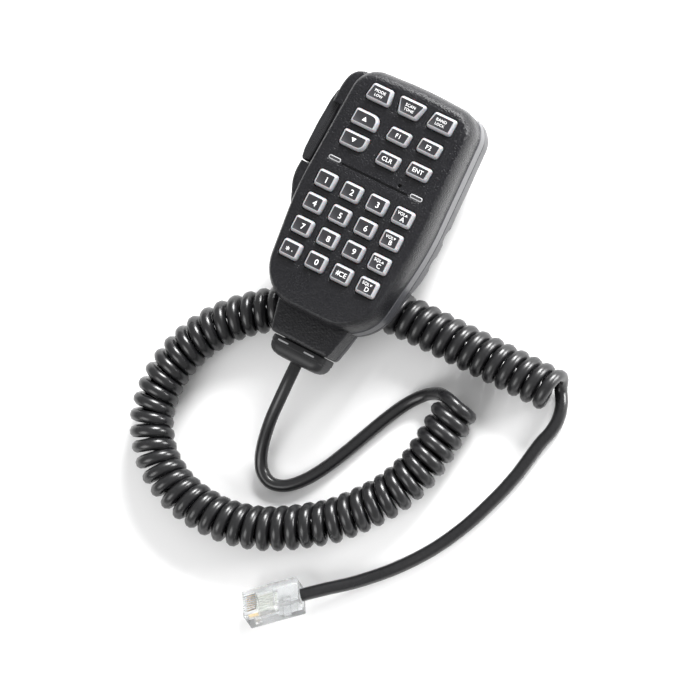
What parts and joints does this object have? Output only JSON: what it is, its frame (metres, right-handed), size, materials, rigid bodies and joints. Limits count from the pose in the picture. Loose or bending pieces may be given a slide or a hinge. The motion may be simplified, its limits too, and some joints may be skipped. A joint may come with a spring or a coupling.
{
  "type": "hand microphone",
  "caption": "Hand microphone for an amateur radio set, with a keypad, a push-to-talk bar, a curled cord and a clear modular plug.",
  "frame": {"origin": "centre of the hanger stud's head, on the surface that the microphone rests on", "axes": "+Y along the case towards its top, +Z out of the key face, +X to the right of the keypad"},
  "size_m": [0.1499, 0.2034, 0.0398],
  "materials": {
    "case_plastic": "fine spark-eroded texture",
    "rear_plastic": "satin",
    "rubber": "matt",
    "key_mat_rubber": "matt",
    "key_plastic": "satin translucent ring with dark label",
    "steel": "plated",
    "black_steel": "blackened",
    "board": "solder mask",
    "chip": "moulded",
    "gold": "plated",
    "window": "smoked",
    "led": "clear",
    "cord": "semi-gloss",
    "wire": "insulation",
    "ivory": "moulded",
    "clear": "clear polycarbonate"
  },
  "bodies": {
    "case": {"front_shell": "case_plastic", "rear_shell": "rear_plastic", "case_seal": "rubber", "case_screws": "black_steel", "board_screws": "black_steel", "ptt_pin": "steel", "ptt_switch": "chip", "key_mat_upper": "key_mat_rubber", "key_mat_lower": "key_mat_rubber", "circuit_board": "board", "key_domes": "gold", "board_chips": "chip", "light_window_left": "window", "light_window_right": "window", "indicator_lights": "led", "microphone_capsule": "steel", "capsule_boot": "rubber", "hanger_stud": "steel", "stud_screw": "black_steel", "cord_bush": "rubber", "cord_inner_end": "cord", "cord_clamp": "steel", "inner_wires": "wire", "cord_socket": "ivory", "cord_tail_case": "cord", "cord_curl": "cord", "cord_tail_plug": "cord", "plug_body": "clear", "plug_contacts": "gold", "plug_wires": "wire"},
    "ptt": {"ptt_bar": "case_plastic"},
    "latch": {"plug_latch": "clear"},
    "key_function_left_body": {"key_function_left": "key_plastic"},
    "key_function_middle_body": {"key_function_middle": "key_plastic"},
    "key_function_right_body": {"key_function_right": "key_plastic"},
    "key_up_body": {"key_up": "key_plastic"},
    "key_down_body": {"key_down": "key_plastic"},
    "key_f1_body": {"key_f1": "key_plastic"},
    "key_f2_body": {"key_f2": "key_plastic"},
    "key_clear_body": {"key_clear": "key_plastic"},
    "key_enter_body": {"key_enter": "key_plastic"},
    "key_1_body": {"key_1": "key_plastic"},
    "key_2_body": {"key_2": "key_plastic"},
    "key_3_body": {"key_3": "key_plastic"},
    "key_a_body": {"key_a": "key_plastic"},
    "key_4_body": {"key_4": "key_plastic"},
    "key_5_body": {"key_5": "key_plastic"},
    "key_6_body": {"key_6": "key_plastic"},
    "key_b_body": {"key_b": "key_plastic"},
    "key_7_body": {"key_7": "key_plastic"},
    "key_8_body": {"key_8": "key_plastic"},
    "key_9_body": {"key_9": "key_plastic"},
    "key_c_body": {"key_c": "key_plastic"},
    "key_star_body": {"key_star": "key_plastic"},
    "key_0_body": {"key_0": "key_plastic"},
    "key_hash_body": {"key_hash": "key_plastic"},
    "key_d_body": {"key_d": "key_plastic"}
  },
  "joints": [
    {"name": "ptt_swing", "type": "hinge", "parent": "case", "child": "ptt", "pos_m": [-0.0286, 0.0245, 0.026], "axis": [0, 0, 1], "range_deg": [0, 3], "stiffness_Nm_per_rad": 4},
    {"name": "latch_bend", "type": "hinge", "parent": "case", "child": "latch", "pos_m": [0.02489, -0.1576, 0.00314], "axis": [0.5795, -0.6436, 0.5], "range_deg": [0, 3], "stiffness_Nm_per_rad": 0.3},
    {"name": "key_function_left_press", "type": "slide", "parent": "case", "child": "key_function_left_body", "axis": [0, 0, -1], "range_m": [0, 0.0008], "stiffness_N_per_m": 1500},
    {"name": "key_function_middle_press", "type": "slide", "parent": "case", "child": "key_function_middle_body", "axis": [0, 0, -1], "range_m": [0, 0.0008], "stiffness_N_per_m": 1500},
    {"name": "key_function_right_press", "type": "slide", "parent": "case", "child": "key_function_right_body", "axis": [0, 0, -1], "range_m": [0, 0.0008], "stiffness_N_per_m": 1500},
    {"name": "key_up_press", "type": "slide", "parent": "case", "child": "key_up_body", "axis": [0, 0, -1], "range_m": [0, 0.0008], "stiffness_N_per_m": 1500},
    {"name": "key_down_press", "type": "slide", "parent": "case", "child": "key_down_body", "axis": [0, 0, -1], "range_m": [0, 0.0008], "stiffness_N_per_m": 1500},
    {"name": "key_f1_press", "type": "slide", "parent": "case", "child": "key_f1_body", "axis": [0, 0, -1], "range_m": [0, 0.0008], "stiffness_N_per_m": 1500},
    {"name": "key_f2_press", "type": "slide", "parent": "case", "child": "key_f2_body", "axis": [0, 0, -1], "range_m": [0, 0.0008], "stiffness_N_per_m": 1500},
    {"name": "key_clear_press", "type": "slide", "parent": "case", "child": "key_clear_body", "axis": [0, 0, -1], "range_m": [0, 0.0008], "stiffness_N_per_m": 1500},
    {"name": "key_enter_press", "type": "slide", "parent": "case", "child": "key_enter_body", "axis": [0, 0, -1], "range_m": [0, 0.0008], "stiffness_N_per_m": 1500},
    {"name": "key_1_press", "type": "slide", "parent": "case", "child": "key_1_body", "axis": [0, 0, -1], "range_m": [0, 0.0008], "stiffness_N_per_m": 1500},
    {"name": "key_2_press", "type": "slide", "parent": "case", "child": "key_2_body", "axis": [0, 0, -1], "range_m": [0, 0.0008], "stiffness_N_per_m": 1500},
    {"name": "key_3_press", "type": "slide", "parent": "case", "child": "key_3_body", "axis": [0, 0, -1], "range_m": [0, 0.0008], "stiffness_N_per_m": 1500},
    {"name": "key_a_press", "type": "slide", "parent": "case", "child": "key_a_body", "axis": [0, 0, -1], "range_m": [0, 0.0008], "stiffness_N_per_m": 1500},
    {"name": "key_4_press", "type": "slide", "parent": "case", "child": "key_4_body", "axis": [0, 0, -1], "range_m": [0, 0.0008], "stiffness_N_per_m": 1500},
    {"name": "key_5_press", "type": "slide", "parent": "case", "child": "key_5_body", "axis": [0, 0, -1], "range_m": [0, 0.0008], "stiffness_N_per_m": 1500},
    {"name": "key_6_press", "type": "slide", "parent": "case", "child": "key_6_body", "axis": [0, 0, -1], "range_m": [0, 0.0008], "stiffness_N_per_m": 1500},
    {"name": "key_b_press", "type": "slide", "parent": "case", "child": "key_b_body", "axis": [0, 0, -1], "range_m": [0, 0.0008], "stiffness_N_per_m": 1500},
    {"name": "key_7_press", "type": "slide", "parent": "case", "child": "key_7_body", "axis": [0, 0, -1], "range_m": [0, 0.0008], "stiffness_N_per_m": 1500},
    {"name": "key_8_press", "type": "slide", "parent": "case", "child": "key_8_body", "axis": [0, 0, -1], "range_m": [0, 0.0008], "stiffness_N_per_m": 1500},
    {"name": "key_9_press", "type": "slide", "parent": "case", "child": "key_9_body", "axis": [0, 0, -1], "range_m": [0, 0.0008], "stiffness_N_per_m": 1500},
    {"name": "key_c_press", "type": "slide", "parent": "case", "child": "key_c_body", "axis": [0, 0, -1], "range_m": [0, 0.0008], "stiffness_N_per_m": 1500},
    {"name": "key_star_press", "type": "slide", "parent": "case", "child": "key_star_body", "axis": [0, 0, -1], "range_m": [0, 0.0008], "stiffness_N_per_m": 1500},
    {"name": "key_0_press", "type": "slide", "parent": "case", "child": "key_0_body", "axis": [0, 0, -1], "range_m": [0, 0.0008], "stiffness_N_per_m": 1500},
    {"name": "key_hash_press", "type": "slide", "parent": "case", "child": "key_hash_body", "axis": [0, 0, -1], "range_m": [0, 0.0008], "stiffness_N_per_m": 1500},
    {"name": "key_d_press", "type": "slide", "parent": "case", "child": "key_d_body", "axis": [0, 0, -1], "range_m": [0, 0.0008], "stiffness_N_per_m": 1500}
  ]
}
